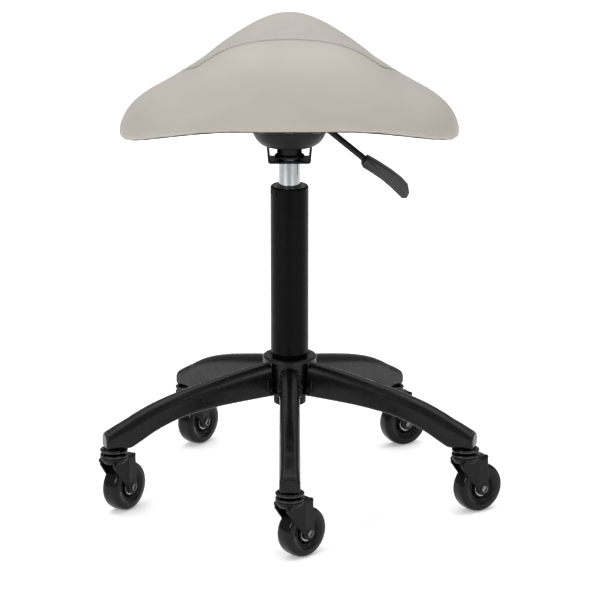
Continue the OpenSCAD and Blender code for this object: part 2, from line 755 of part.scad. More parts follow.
seat_cover();
foam_pad();
seat_board();
dust_cover();
staples();
t_nuts();
seat_bolts();
seat_washers();
dish_plate();
u_bracket();
taper_socket();
lever_lugs();
pivot_pin();
lever_rod();
lever_grip();
pressure_tube();
release_pin();
rod_gland();
piston();
piston_rod();
bump_stop();
retaining_clip();
thrust_bearing();
outer_tube();
guide_bush();
hub_collar();
hub_socket();
leg_1();
leg_2();
leg_3();
leg_4();
leg_5();
stem_sockets();
caster_stems();
fork_1();
fork_2();
fork_3();
fork_4();
fork_5();
axle_1();
axle_2();
axle_3();
axle_4();
axle_5();
tyre_1();
tyre_2();
tyre_3();
tyre_4();
tyre_5();
wheel_core_1();
wheel_core_2();
wheel_core_3();
wheel_core_4();
wheel_core_5();
bearings_1();
bearings_2();
bearings_3();
bearings_4();
bearings_5();
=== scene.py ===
"""Looks of a saddle stool on a five-leg caster base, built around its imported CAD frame.

Every length is in metres and every place is in the frame's own axes: +X the sitter's right,
+Y where the sitter faces, +Z up, the origin on the floor under the column.
"""
import math

import bmesh
import bpy
import numpy as np
from mathutils import Matrix, Vector


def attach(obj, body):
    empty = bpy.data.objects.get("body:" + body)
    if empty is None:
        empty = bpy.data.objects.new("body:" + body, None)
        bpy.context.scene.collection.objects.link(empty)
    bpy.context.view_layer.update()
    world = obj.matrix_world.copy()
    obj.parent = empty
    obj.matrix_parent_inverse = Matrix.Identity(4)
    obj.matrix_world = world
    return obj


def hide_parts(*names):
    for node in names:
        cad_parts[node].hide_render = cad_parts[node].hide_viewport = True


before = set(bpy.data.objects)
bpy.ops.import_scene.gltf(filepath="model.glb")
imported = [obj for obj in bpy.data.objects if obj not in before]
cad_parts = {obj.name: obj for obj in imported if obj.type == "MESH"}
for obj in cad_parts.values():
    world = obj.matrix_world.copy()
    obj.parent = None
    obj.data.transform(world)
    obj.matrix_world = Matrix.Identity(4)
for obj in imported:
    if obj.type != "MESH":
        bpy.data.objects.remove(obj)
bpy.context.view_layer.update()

MM = 0.001
LEG_ANGLES = (-90, -18, 54, 126, 198)
STEM_CIRCLE = 0.242
TRAIL = 0.020
AXLE_Z = 0.033
TRAIL_ANGLES = (43, 33, 28, 51, 55)
CASTERS = range(1, 6)


# ---------- camera, floor and light ----------

CAMERA_PLACE = (0.0, -3.4176, 1.2448)
CAMERA_DOWN = 0.278
CAMERA_TURN = -0.004
CAMERA_LENS = 161.86
FLOOR_DROP = -0.0002

# Each light's name, place, target, size, power in watts and beam in degrees.
LIGHTS = (
    ("overhead", (0, 1.9, 3.4), (0, 1.9, 0), (6.0, 6.4), 120, 110),
    ("key", (-1.9, -2.3, 1.9), (0, 0, 0.5), (0.9, 1.2), 4, 60),
    ("left_pool", (-1.06, -1.13, 1.5), (-1.06, -1.13, 0), (0.5, 0.5), 5, 60),
    ("right_pool", (0.84, -1.3, 1.5), (0.84, -1.3, 0), (0.5, 0.5), 4, 60),
    ("fill", (1.7, -2.4, 1.7), (0, 0, 0.5), (0.9, 1.2), 2.5, 60),
)


def make_camera():
    """The view from behind the stool and a little above it, through a long lens."""
    data = bpy.data.cameras.new("camera")
    data.lens = CAMERA_LENS
    data.sensor_width = 36
    data.clip_end = 100
    camera = bpy.data.objects.new("camera", data)
    camera.location = CAMERA_PLACE
    camera.rotation_euler = (math.pi / 2 - CAMERA_DOWN, 0, CAMERA_TURN)
    bpy.context.scene.collection.objects.link(camera)
    bpy.context.scene.camera = camera


def make_world():
    """Dim light all round, a little brighter overhead than at the level of the floor."""
    world = bpy.data.worlds.new("studio")
    world.use_nodes = True
    tree = world.node_tree
    background = tree.nodes["Background"]
    place = tree.nodes.new("ShaderNodeTexCoord")
    parts = tree.nodes.new("ShaderNodeSeparateXYZ")
    tree.links.new(place.outputs["Generated"], parts.inputs[0])
    ramp = tree.nodes.new("ShaderNodeValToRGB")
    for element, (height, level) in zip(ramp.color_ramp.elements, ((0.0, 0.75), (0.8, 1.0))):
        element.position = height
        element.color = (level, level, level, 1.0)
    tree.links.new(parts.outputs["Z"], ramp.inputs["Fac"])
    tree.links.new(ramp.outputs["Color"], background.inputs["Color"])
    background.inputs["Strength"].default_value = 0.4
    bpy.context.scene.world = world
    bpy.context.scene.view_settings.view_transform = "Standard"


def make_light(name, place, target, size, power, spread):
    """A soft box at place that faces target; spread is the width of its beam in degrees."""
    data = bpy.data.lights.new(name, "AREA")
    data.shape = "RECTANGLE"
    data.size, data.size_y = size
    data.energy = power
    data.spread = math.radians(spread)
    light = bpy.data.objects.new(name, data)
    light.location = place
    light.rotation_euler = (Vector(target) - Vector(place)).to_track_quat("-Z", "Y").to_euler()
    bpy.context.scene.collection.objects.link(light)


def make_floor(material):
    """A plain pale floor that fills the view."""
    half = 14.0
    corners = [(-half, -half, 0), (half, -half, 0), (half, half, 0), (-half, half, 0)]
    floor = new_object("floor", (corners, [(0, 1, 2, 3)]))
    floor.data.materials.append(material)
    floor.location.z = FLOOR_DROP


# ---------- materials ----------


class Finish:
    """A material built from nodes: a shader, and textures in the object's own coordinates."""

    def __init__(self, name, roughness, metallic=0.0, specular=0.5, **sockets):
        self.material = bpy.data.materials.new(name)
        self.material.use_nodes = True
        self.tree = self.material.node_tree
        self.shader = self.tree.nodes["Principled BSDF"]
        self.shader.inputs["Roughness"].default_value = roughness
        self.shader.inputs["Metallic"].default_value = metallic
        self.shader.inputs["Specular IOR Level"].default_value = specular
        for socket, value in sockets.items():
            self.shader.inputs[socket.replace("_", " ")].default_value = value
        self.place = self.tree.nodes.new("ShaderNodeTexCoord").outputs["Object"]

    def node(self, kind, inputs=(), **settings):
        """A new node with its settings made and its inputs given, each a value or another node's output."""
        made = self.tree.nodes.new("ShaderNode" + kind)
        for key, value in settings.items():
            setattr(made, key, value)
        for key, value in dict(inputs).items():
            if isinstance(value, bpy.types.NodeSocket):
                self.tree.links.new(value, made.inputs[key])
            else:
                made.inputs[key].default_value = value
        return made

    def stretched(self, scale):
        """The object's coordinates, scaled by different amounts along X, Y and Z."""
        return self.node("Mapping", {"Vector": self.place, "Scale": scale}).outputs["Vector"]

    def noise(self, size, detail=3.0, roughness=0.5, place=None):
        """Cloudy noise with blobs about size metres across."""
        inputs = {"Vector": place or self.place, "Scale": 1 / size, "Detail": detail, "Roughness": roughness}
        return self.node("TexNoise", inputs).outputs["Fac"]

    def cells(self, size, feature="F1", place=None):
        """Cells about size metres across."""
        inputs = {"Vector": place or self.place, "Scale": 1 / size}
        return self.node("TexVoronoi", inputs, feature=feature).outputs["Distance"]

    def ramp(self, value, low, high, from_low=0.0, from_high=1.0):
        """value spread from low to high."""
        inputs = {"Value": value, "From Min": from_low, "From Max": from_high, "To Min": low, "To Max": high}
        return self.node("MapRange", inputs).outputs["Result"]

    def colours(self, value, stops):
        """A colour for each level of value; stops are (level, colour)."""
        made = self.node("ValToRGB", {"Fac": value})
        elements = made.color_ramp.elements
        while len(elements) < len(stops):
            elements.new(0.5)
        for element, (level, colour) in zip(elements, stops):
            element.position = level
            element.color = (*colour, 1.0)
        return made.outputs["Color"]

    def maths(self, operation, a, b):
        return self.node("Math", {0: a, 1: b}, operation=operation).outputs["Value"]

    def bumps(self, *layers):
        """Stacks bump layers, each (height, depth in metres, strength)."""
        normal = None
        for height, depth, strength in layers:
            inputs = {"Height": height, "Distance": depth, "Strength": strength}
            if normal is not None:
                inputs["Normal"] = normal
            normal = self.node("Bump", inputs).outputs["Normal"]
        self.tree.links.new(normal, self.shader.inputs["Normal"])

    def set(self, socket, output):
        self.tree.links.new(output, self.shader.inputs[socket])

    def tint(self, value, *stops):
        """Colours the finish by value; stops are (level, colour)."""
        self.set("Base Color", self.colours(value, stops))

    def gloss(self, value, low, high, from_low=0.3, from_high=0.7):
        """Lets the roughness wander from low to high with value."""
        self.set("Roughness", self.ramp(value, low, high, from_low, from_high))


def shade(colour, factor):
    return tuple(c * factor for c in colour)


def leather_finish():
    """Smooth taupe seat leather: pebble grain, fine pores, a little mottling and a soft sheen."""
    taupe = (0.380, 0.354, 0.316)
    f = Finish("seat_leather", 0.5, specular=0.32, Sheen_Weight=0.12, Sheen_Roughness=0.45)
    cloud = f.noise(0.09, 4.0, 0.55)
    f.tint(cloud, (0.25, shade(taupe, 0.94)), (0.5, taupe), (0.78, shade(taupe, 1.05)))
    pebbles = f.cells(0.0017, "SMOOTH_F1", f.stretched((1.0, 1.12, 1.0)))
    pores = f.noise(0.0005, 2.0)
    creases = f.noise(0.012, 5.0, 0.62)
    f.bumps((creases, 0.0006, 0.22), (pebbles, 0.00025, 0.35), (pores, 0.00008, 0.3))
    f.gloss(f.noise(0.03, 3.0), 0.44, 0.58)
    return f.material


def thread_finish():
    """Twisted polyester thread, a shade browner than the leather."""
    f = Finish("seam_thread", 0.6, specular=0.3, Sheen_Weight=0.2)
    waves = {"Vector": f.place, "Scale": 700.0, "Distortion": 1.5}
    twist = f.node("TexWave", waves, bands_direction="DIAGONAL")
    f.tint(twist.outputs["Fac"], (0.2, (0.17, 0.12, 0.10)), (0.8, (0.30, 0.23, 0.20)))
    f.bumps((twist.outputs["Fac"], 0.0002, 0.6))
    return f.material


def lining_finish():
    """Black non-woven dust-cover cloth: matted fibres and small bonded dots."""
    f = Finish("lining_cloth", 0.92, specular=0.15, Sheen_Weight=0.25)
    fibres = f.noise(0.0012, 6.0, 0.75, f.stretched((1.0, 2.6, 1.0)))
    dots = f.cells(0.0024, "F1")
    f.tint(fibres, (0.3, (0.010, 0.010, 0.011)), (0.7, (0.032, 0.032, 0.034)))
    f.bumps((fibres, 0.0003, 0.7), (dots, 0.0002, 0.5))
    return f.material


def powder_finish(name, level, roughness, grain=0.0016, specular=0.25):
    """Satin powder coat on steel: orange peel, a fine speckle and slightly uneven gloss."""
    f = Finish(name, roughness, specular=specular)
    cloud = f.noise(0.03, 4.0)
    f.tint(cloud, (0.3, (level * 0.8,) * 3), (0.7, (level * 1.2, level * 1.2, level * 1.25)))
    peel = f.noise(grain, 2.0, 0.4)
    speckle = f.noise(grain / 5, 1.0)
    f.bumps((peel, 0.00012, 0.35), (speckle, 0.00004, 0.25))
    f.gloss(f.noise(0.012, 4.0), roughness - 0.05, roughness + 0.07)
    return f.material


def chrome_finish():
    """Hard-chromed tube: fine rings left by polishing, and faint wipe marks."""
    f = Finish("tube_chrome", 0.09, metallic=1.0)
    f.tint(f.noise(0.02, 3.0), (0.3, (0.32, 0.33, 0.34)), (0.7, (0.38, 0.39, 0.40)))
    rings = f.noise(0.0011, 2.0, 0.5, f.stretched((0.06, 0.06, 1.0)))
    f.bumps((rings, 0.00002, 0.25))
    f.gloss(f.noise(0.008, 5.0, 0.6, f.stretched((1.0, 1.0, 0.35))), 0.06, 0.15, 0.35)
    return f.material


def zinc_finish(name, level, roughness):
    """Bright-zinc plated steel: mottled gloss with a faint blue and yellow cast."""
    f = Finish(name, roughness, metallic=1.0)
    mottle = f.noise(0.006, 5.0, 0.65)
    f.tint(mottle, (0.3, (level * 0.90, level * 0.94, level)), (0.55, (level, level, level)),
           (0.75, (level * 1.04, level * 1.0, level * 0.9)))
    f.bumps((f.noise(0.0009, 3.0), 0.00004, 0.3))
    f.gloss(f.noise(0.004, 5.0), roughness - 0.08, roughness + 0.1)
    return f.material


def moulded_finish(name, level, roughness, grain=0.0008, depth=0.00008, specular=0.4, **sockets):
    """Moulded plastic with a fine spark-eroded texture."""
    f = Finish(name, roughness, specular=specular, **sockets)
    cloud = f.noise(0.02, 3.0)
    f.tint(cloud, (0.3, (level * 0.88,) * 3), (0.7, (level * 1.1, level * 1.1, level * 1.13)))
    f.bumps((f.cells(grain, "SMOOTH_F1"), depth, 0.5), (f.noise(grain / 3, 2.0), depth / 3, 0.4))
    f.gloss(f.noise(0.01, 4.0), roughness - 0.05, roughness + 0.07)
    return f.material


def tyre_finish():
    """Glossy cast polyurethane, near black, with faint scuffs round the tread."""
    f = Finish("tyre_polyurethane", 0.16, specular=0.16)
    f.tint(f.noise(0.015, 4.0), (0.3, (0.0035,) * 3), (0.7, (0.007, 0.007, 0.008)))
    scuffs = f.noise(0.002, 6.0, 0.7)
    f.bumps((f.noise(0.006, 3.0), 0.0001, 0.25), (scuffs, 0.00004, 0.3))
    f.gloss(scuffs, 0.12, 0.28, 0.42, 0.75)
    return f.material


def foam_finish():
    f = Finish("moulded_foam", 0.95, specular=0.1)
    open_cells = f.cells(0.0014, "F1")
    f.tint(open_cells, (0.1, (0.55, 0.48, 0.30)), (0.6, (0.80, 0.74, 0.55)))
    f.bumps((open_cells, 0.0006, 0.8))
    return f.material


def birch_finish():
    """Birch plywood: long grain on the faces and thin plies up the edge."""
    f = Finish("birch_plywood", 0.6, specular=0.3)
    grain = f.noise(0.004, 6.0, 0.7, f.stretched((1.0, 0.06, 1.0)))
    plies = f.node("TexWave", {"Vector": f.place, "Scale": 220.0}, bands_direction="Z").outputs["Fac"]
    f.tint(f.maths("MULTIPLY", grain, plies),
           (0.1, (0.34, 0.22, 0.12)), (0.45, (0.60, 0.45, 0.28)), (0.9, (0.72, 0.58, 0.40)))
    f.bumps((grain, 0.0002, 0.4))
    return f.material


def floor_finish():
    f = Finish("studio_floor", 0.8, specular=0.1, Emission_Color=(1, 1, 1, 1), Emission_Strength=0.3)
    f.tint(f.noise(0.8, 2.0), (0.3, (0.925, 0.925, 0.925)), (0.7, (0.94, 0.94, 0.94)))
    return f.material


FINISHES = {
    "leather": leather_finish(),
    "thread": thread_finish(),
    "dust_cloth": lining_finish(),
    "foam": foam_finish(),
    "plywood": birch_finish(),
    "frame_black": powder_finish("base_powder_coat", 0.0034, 0.27, specular=0.21),
    "column_black": powder_finish("column_powder_coat", 0.0020, 0.30, specular=0.06),
    "mechanism_black": powder_finish("mechanism_powder_coat", 0.0055, 0.42, specular=0.18),
    "lever_black": powder_finish("lever_powder_coat", 0.008, 0.36),
    "chrome": chrome_finish(),
    "zinc_steel": zinc_finish("zinc_plate", 0.62, 0.3),
    "axle_steel": zinc_finish("bolt_steel", 0.16, 0.18),
    "bearing_steel": zinc_finish("race_steel", 0.38, 0.2),
    "race_steel": zinc_finish("dark_race_steel", 0.045, 0.14),
    "grip_plastic": moulded_finish("grip_plastic", 0.040, 0.45, 0.0011, 0.00014),
    "fork_black": moulded_finish("fork_plastic", 0.0045, 0.34, specular=0.16),
    "core_plastic": moulded_finish("core_nylon", 0.004, 0.45, specular=0.12),
    "bush_plastic": moulded_finish("bush_acetal", 0.04, 0.3, specular=0.5),
    "rubber": moulded_finish("stop_rubber", 0.018, 0.8, specular=0.2),
    "tyre": tyre_finish(),
}


# ---------- mesh helpers ----------


def new_object(name, part):
    """An object in the scene made from its points and faces."""
    points, faces = part
    mesh = bpy.data.meshes.new(name)
    mesh.from_pydata([tuple(p) for p in points], [], faces)
    obj = bpy.data.objects.new(name, mesh)
    bpy.context.scene.collection.objects.link(obj)
    return obj


def add_piece(name, part, finish, body, sharp=35.0, stands_for=(), slot=None):
    """A smooth-shaded piece whose edges sharper than `sharp` degrees stay crisp, riding on a CAD body."""
    obj = new_object(name, part)
    obj.data.validate()
    obj.data.materials.append(FINISHES[finish])
    smooth_shade(obj.data, sharp)
    settle(obj, body, stands_for)
    return obj


def solid_piece(*settings, **named):
    """A piece whose faces all look outwards."""
    return outward(add_piece(*settings, **named))


def smooth_shade(mesh, sharp):
    mesh.shade_smooth()
    mesh.set_sharp_from_angle(angle=math.radians(sharp))


def settle(obj, body, stands_for=()):
    """Says which body a piece rides on, and hides the CAD nodes it stands for."""
    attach(obj, body)
    if stands_for:
        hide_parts(*stands_for)


def applied(obj):
    """Turns the object's modifiers into its own mesh."""
    graph = bpy.context.evaluated_depsgraph_get()
    made = bpy.data.meshes.new_from_object(obj.evaluated_get(graph))
    old = obj.data
    obj.modifiers.clear()
    obj.data = made
    bpy.data.meshes.remove(old)
    return obj


def soften(obj, width, steps=2, angle=40.0):
    """Rounds the edges that are sharper than angle degrees."""
    bevel = obj.modifiers.new("round_edges", "BEVEL")
    bevel.width = width
    bevel.segments = steps
    bevel.limit_method = "ANGLE"
    bevel.angle_limit = math.radians(angle)
    bevel.harden_normals = True
    return obj


def rounded(outline, radius, closed=True, steps=4):
    """outline with each corner turned into an arc; a point's third number is that corner's own radius."""
    result = []
    count = len(outline)
    for i, point in enumerate(outline):
        here = Vector(point[:2])
        r = point[2] if len(point) > 2 else radius
        at_end = not closed and i in (0, count - 1)
        if r == 0 or at_end:
            result.append(here)
            continue
        back = Vector(outline[i - 1][:2]) - here
        ahead = Vector(outline[(i + 1) % count][:2]) - here
        half = back.angle(ahead) / 2
        cut = min(r / math.tan(half), 0.48 * back.length, 0.48 * ahead.length)
        start = here + back.normalized() * cut
        end = here + ahead.normalized() * cut
        for k in range(steps + 1):
            t = k / steps
            result.append((1 - t) ** 2 * start + 2 * t * (1 - t) * here + t * t * end)
    return result


def turned(profile, segments=96, closed=True):
    """Points and faces of a profile of (radius, height) turned about Z; an open one starts and ends on Z."""
    points, rings = [], []
    for r, z in profile:
        if r < 1e-7:
            rings.append([len(points)])
            points.append((0.0, 0.0, z))
            continue
        rings.append(list(range(len(points), len(points) + segments)))
        for k in range(segments):
            a = 2 * math.pi * k / segments
            points.append((r * math.cos(a), r * math.sin(a), z))
    faces = []
    pairs = list(zip(rings, rings[1:])) + ([(rings[-1], rings[0])] if closed else [])
    for low, high in pairs:
        for k in range(segments):
            n = (k + 1) % segments
            face = [low[k % len(low)], low[n % len(low)], high[n % len(high)], high[k % len(high)]]
            face = list(dict.fromkeys(face))
            if len(face) > 2:
                faces.append(face)
    return points, faces


def in_metres(outline):
    """An outline in mm as vectors in metres."""
    return [Vector(p) * MM for p in outline]


def moved(part, matrix):
    """Points and faces after a move."""
    points, faces = part
    return [matrix @ Vector(p) for p in points], faces


def set_upright(part):
    """Points and faces with Y and Z exchanged."""
    points, faces = part
    return [(x, z, y) for x, y, z in points], faces


def joined(parts):
    """Points and faces of several (points, faces) as one mesh."""
    points, faces = [], []
    for part_points, part_faces in parts:
        start = len(points)
        points.extend(part_points)
        faces.extend([[start + i for i in face] for face in part_faces])
    return points, faces


def skinned(rings, close_start=True, close_end=True):
    """Points and faces of a skin through rings of equal length, with a fan at each closed end."""
    size = len(rings[0])
    points = [tuple(p) for ring in rings for p in ring]
    faces = []
    for j in range(len(rings) - 1):
        for i in range(size):
            n = (i + 1) % size
            faces.append([j * size + i, j * size + n, (j + 1) * size + n, (j + 1) * size + i])
    last = (len(rings) - 1) * size
    for closes, ring, first in ((close_start, rings[0], 0), (close_end, rings[-1], last)):
        if closes:
            hub = len(points)
            points.append(tuple(np.mean(np.array(ring, float), axis=0)))
            for i in range(size):
                pair = [first + i, first + (i + 1) % size]
                faces.append([hub] + (pair if first else pair[::-1]))
    return points, faces


def slab(outline, low, high):
    """Points and faces of an outline in X and Y, extruded from low to high along Z."""
    count = len(outline)
    points = [(p[0], p[1], z) for z in (low, high) for p in outline]
    faces = [[i, (i + 1) % count, count + (i + 1) % count, count + i] for i in range(count)]
    faces.append(list(range(count))[::-1])
    faces.append(list(range(count, 2 * count)))
    return points, faces


def spline(points, steps, closed=False):
    """A Catmull-Rom curve through points."""
    points = [np.array(p, float) for p in points]
    count = len(points)
    result = []
    for i in range(count if closed else count - 1):
        if closed:
            a, b, c, d = (points[(i + k) % count] for k in (-1, 0, 1, 2))
        else:
            a, b, c, d = points[max(0, i - 1)], points[i], points[i + 1], points[min(count - 1, i + 2)]
        for k in range(steps):
            t = k / steps
            result.append(0.5 * (2 * b + (c - a) * t + (2 * a - 5 * b + 4 * c - d) * t ** 2
                                 + (3 * b - a - 3 * c + d) * t ** 3))
    if not closed:
        result.append(points[-1])
    return result


def outward(obj):
    """Makes every face look outwards."""
    edit = bmesh.new()
    edit.from_mesh(obj.data)
    bmesh.ops.recalc_face_normals(edit, faces=edit.faces)
    edit.to_mesh(obj.data)
    edit.free()
    return obj


def turn_to(angle):
    return Matrix.Rotation(math.radians(angle), 4, "Z")


def tipped(angle, axis):
    """A turn by angle radians about the named axis."""
    return Matrix.Rotation(angle, 4, axis)


# ---------- seat ----------

# Right half of the saddle's outline in plan, from the middle of the rear to the pommel's nose.
SEAT_HALF = [(0, -170), (62, -168), (124, -158), (172, -137), (206, -105), (220, -64), (217, -18),
             (202, 30), (185, 76), (167, 118), (147, 154), (114, 181), (64, 193), (0, 196)]
SEAT_CENTRE = np.array([0.0, 10.0])
RIDGE_Z = 634.5
UNDER_Z = 529.0
UNDER_DROP = 29.0
SEAM_Y = -80.0


def eased(t):
    t = np.clip(t, 0, 1)
    return t * t * (3 - 2 * t)


def under(x):
    """Height in mm of the seat's underside."""
    return UNDER_Z - UNDER_DROP * (np.maximum(0, np.abs(x) - 58) / 155) ** 1.9


def saddle(x, y):
    """Height in mm of the saddle before its edge is rounded: a bell behind, a steeper roof in front."""
    x = np.abs(x)
    ridge = RIDGE_Z - 3 * eased((y + 80) / 230) - 4 * np.sin(math.pi * np.clip((y + 80) / 225, 0, 1)) ** 2
    rear = 75 * x ** 4 / (x ** 4 + 133.0 ** 4) + 0.038 * x
    front = 0.8 * (np.hypot(x, 49) - 49)
    share = eased((y + 100) / 260)
    return ridge - rear * (1 - share) - front * share


def saddle_outline(spokes):
    """The whole outline of the saddle in plan, in mm."""
    half = SEAT_HALF + [(-x, y) for x, y in SEAT_HALF[-2:0:-1]]
    return np.array(spline(half, spokes, closed=True))


def seat_skin(inset, spokes, rings):
    """Rings in mm of the saddle's upper skin from its edge in to its centre, inset all round."""
    outline = saddle_outline(spokes)
    arm = outline - SEAT_CENTRE
    reach = np.hypot(arm[:, 0], arm[:, 1])
    behind = outline[:, 1] < 0
    edge = np.where(behind, 54 + 36 * eased((-outline[:, 1] - 60) / 100), 50.0)
    skin = []
    for t in rings:
        q = SEAT_CENTRE + arm * ((reach - inset) / reach * t)[:, None]
        low = under(q[:, 0]) + inset
        u = np.clip((1 - t) * (reach - inset) / edge, 0, 1)
        rise = (1 - (1 - u) ** 2.1) ** (1 / 2.1)
        z = low + (saddle(q[:, 0], q[:, 1]) - inset - low) * rise
        skin.append(np.column_stack([q, z]))
    return skin


def saddle_blank(inset):
    """The closed block, in metres, that the padded seat swells from."""
    top = seat_skin(inset, 8, [1 - (k / 26) ** 1.5 for k in range(27)][:26])
    base = []
    for t in (0.15, 0.35, 0.55, 0.75, 0.9, 0.97):
        ring = SEAT_CENTRE + (top[0][:, :2] - SEAT_CENTRE) * t
        base.append(np.column_stack([ring, under(ring[:, 0]) + 0.6]))
    rings = [ring * MM for ring in base + top]
    return skinned(rings)


def fabric_copy(name, part, voxel):
    """The block as an even mesh, ready for the cloth solver."""
    obj = outward(new_object(name, part))
    remesh = obj.modifiers.new("even", "REMESH")
    remesh.mode = "VOXEL"
    remesh.voxel_size = voxel
    applied(obj)
    relax = obj.modifiers.new("relax", "SMOOTH")
    relax.factor = 0.5
    relax.iterations = 6
    return applied(obj)


def mesh_points(mesh):
    flat = np.zeros(len(mesh.vertices) * 3, np.float32)
    mesh.vertices.foreach_get("co", flat)
    return flat.reshape(-1, 3).astype(float)


def set_points(mesh, points):
    mesh.vertices.foreach_set("co", points.astype(np.float32).ravel())
    mesh.update()


def swell(obj, held, cap, frames=20):
    """Blows the cover up with the cloth solver, and moves no point further than cap.

    held is 1 where a point can't move and 0 where it is free.
    """
    before = mesh_points(obj.data)
    group = obj.vertex_groups.new(name="held")
    for i, weight in enumerate(held):
        if weight > 0:
            group.add([i], float(weight), "REPLACE")
    cloth = obj.modifiers.new("swell", "CLOTH")
    settings = cloth.settings
    settings.vertex_group_mass = "held"
    settings.use_pressure = True
    settings.uniform_pressure_force = 4.0
    settings.tension_stiffness = 25
    settings.compression_stiffness = 25
    settings.bending_stiffness = 4
    settings.effector_weights.gravity = 0
    cloth.point_cache.frame_start = 1
    cloth.point_cache.frame_end = frames
    for number in range(1, frames + 1):
        bpy.context.scene.frame_set(number)
    applied(obj)
    bpy.context.scene.frame_set(1)
    after = mesh_points(obj.data)
    step = after - before
    length = np.linalg.norm(step, axis=1, keepdims=True)
    step *= np.minimum(1, cap / np.maximum(length, 1e-9))
    set_points(obj.data, before + step * (1 - np.asarray(held))[:, None])
    obj.vertex_groups.clear()


def seam_y(x):
    """Where the cross seam lies in plan, in mm: it dips rearward, then turns forward down the flanks."""
    return SEAM_Y - 12 * eased(np.abs(x) / 110) + 60 * eased((np.abs(x) - 112) / 40)


def seam_offset(points):
    """Signed distance in metres from the seam, along the surface near enough, positive towards the pommel."""
    x = points[:, 0] / MM
    slope = (seam_y(x + 1) - seam_y(x - 1)) / 2
    return (points[:, 1] / MM - seam_y(x)) / np.sqrt(1 + slope ** 2) * MM


def refine_near_seam(obj, reach, times=2):
    """Splits the faces near the seam, so that it can be a true groove."""
    for _ in range(times):
        edit = bmesh.new()
        edit.from_mesh(obj.data)
        edit.verts.ensure_lookup_table()
        offset = seam_offset(np.array([v.co for v in edit.verts]))
        edges = [e for e in edit.edges if min(abs(offset[v.index]) for v in e.verts) < reach]
        bmesh.ops.subdivide_edges(edit, edges=edges, cuts=1, use_grid_fill=True)
        bmesh.ops.triangulate(edit, faces=[f for f in edit.faces if len(f.verts) > 4])
        edit.to_mesh(obj.data)
        edit.free()


def sink_seam(obj, depth):
    """Pulls the leather in along the seam and lifts it a little on each side."""
    points = mesh_points(obj.data)
    normals = np.zeros(len(points) * 3, np.float32)
    obj.data.vertices.foreach_get("normal", normals)
    normals = normals.reshape(-1, 3)
    offset = np.abs(seam_offset(points))
    groove = -depth * np.exp(-(offset / (1.3 * MM)) ** 2)
    puff = 0.5 * MM * np.exp(-((offset - 5 * MM) / (3.5 * MM)) ** 2)
    above = eased((points[:, 2] / MM - under(points[:, 0] / MM) - 1) / 4)
    set_points(obj.data, points + normals * ((groove + puff) * above)[:, None])


def make_seat():
    """The padded saddle in leather, with its cross seam and thread."""
    inset = 2.2
    seat = fabric_copy("saddle_cover", saddle_blank(inset), 0.005)
    rest = mesh_points(seat.data)
    height = rest[:, 2] / MM - under(rest[:, 0] / MM)
    held = 1 - eased((height - 4) / 22)
    swell(seat, held, 3.2 * MM)
    relax = seat.modifiers.new("relax", "SMOOTH")
    relax.factor = 0.5
    relax.iterations = 8
    finer = seat.modifiers.new("finer", "SUBSURF")
    finer.levels = 1
    finer.render_levels = 1
    applied(seat)
    refine_near_seam(seat, 9 * MM)
    sink_seam(seat, 1.7 * MM)
    seat.data.materials.clear()
    seat.data.materials.append(FINISHES["leather"])
    seat.data.shade_smooth()
    settle(seat, "seat", ("seat_cover", "foam_pad"))
    make_seam_thread(seat)


def make_seam_thread(seat):
    """Two rows of stitches beside the seam, laid on the leather."""
    graph = bpy.context.evaluated_depsgraph_get()
    graph.update()
    path = []
    x = -212.0
    while x <= 212:
        path.append((x * MM, seam_y(x) * MM))
        x += 0.5
    parts = []
    pitch, length = 4.4 * MM, 3.3 * MM
    for side in (-2.6 * MM, 2.6 * MM):
        walked, last = 0.0, None
        for x, y in path:
            hit, place, normal, _ = seat.ray_cast(Vector((x, y + side, 0.75)), Vector((0, 0, -1)))
            if not hit or normal.z < 0.12:
                last = None
                continue
            if last is not None:
                walked += (place - last).length
                if walked >= pitch:
                    walked = 0.0
                    parts.append(stitch(place, (place - last).normalized(), normal, length))
            last = place
    add_piece("seam_thread", joined(parts), "thread", "seat", 80, slot="leather")


def stitch(place, along, normal, length):
    """One stitch: a short round thread that dips into the leather at both ends."""
    across = normal.cross(along).normalized()
    rings = []
    sides, steps = 6, 4
    for j in range(steps + 1):
        t = j / steps
        lift = 0.42 * MM * math.sin(math.pi * t) ** 0.5 - 0.12 * MM
        radius = 0.36 * MM * (0.7 + 0.3 * math.sin(math.pi * t))
        middle = place + along * (length * (t - 0.5)) + normal * lift
        rings.append([middle + (across * math.cos(a) + normal * math.sin(a)) * radius
                      for a in (2 * math.pi * k / sides for k in range(sides))])
    return skinned(rings)


def edge_ring(share, drop, spokes=6):
    """A ring of points in metres on the seat's underside at a share of the way out, drop mm below it."""
    ring = SEAT_CENTRE + (saddle_outline(spokes) - SEAT_CENTRE) * share
    return np.column_stack([ring, under(ring[:, 0]) - drop]) * MM


def make_dust_cover():
    """Black cloth stretched over the underside, with a rolled hem held by staples."""
    shares = [0.05, 0.15, 0.3, 0.45, 0.6, 0.72, 0.82, 0.9, 0.938]
    low = [edge_ring(s, -0.25) for s in shares]
    roll = ((0.943, -0.2), (0.947, -0.3), (0.949, -0.5), (0.949, -0.75), (0.943, -0.95))
    hem = [edge_ring(s, d) for s, d in roll]
    top = [edge_ring(s, -0.95) for s in reversed(shares)]
    cloth = skinned(low + hem + top)
    cover = solid_piece("dust_cover_cloth", cloth, "dust_cloth", "seat", 60, ("dust_cover",))


